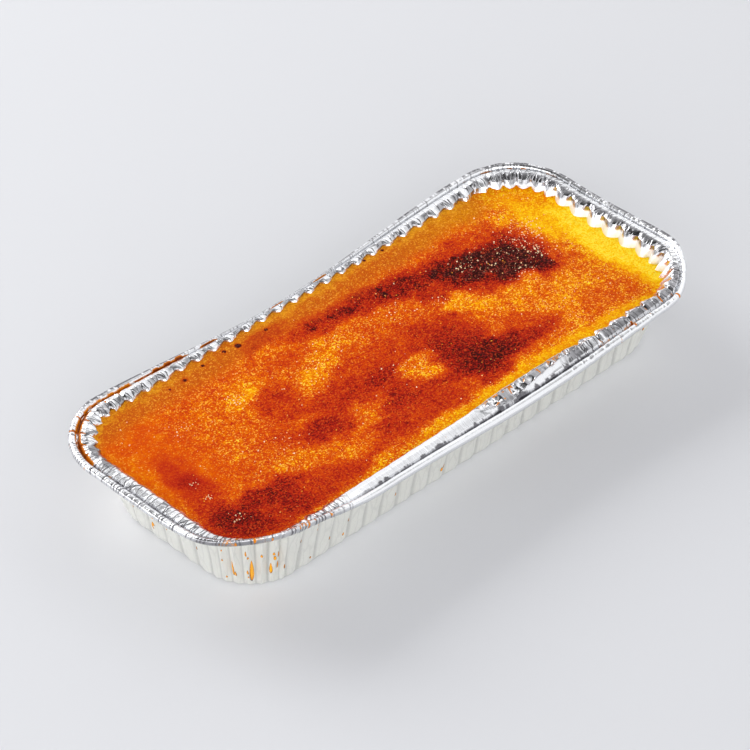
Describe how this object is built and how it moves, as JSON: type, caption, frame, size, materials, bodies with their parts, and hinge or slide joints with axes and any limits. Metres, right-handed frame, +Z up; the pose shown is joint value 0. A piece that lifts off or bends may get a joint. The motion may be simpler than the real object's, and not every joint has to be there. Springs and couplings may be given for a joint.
{
  "type": "crema catalana in a foil tray",
  "caption": "Set custard with a burnt sugar crust, filling a long round-cornered foil tray with pleated walls and a rolled rim.",
  "frame": {"origin": "centre of the tray's outline, on the surface that it stands on", "axes": "+X along the tray's length, +Y across its width, +Z up out of the open top"},
  "size_m": [0.215, 0.0968, 0.0329],
  "materials": {
    "aluminium_foil": "satin",
    "baked_custard": "satin"
  },
  "bodies": {
    "root": {"foil_tray": "aluminium_foil", "custard": "baked_custard"}
  },
  "joints": []
}
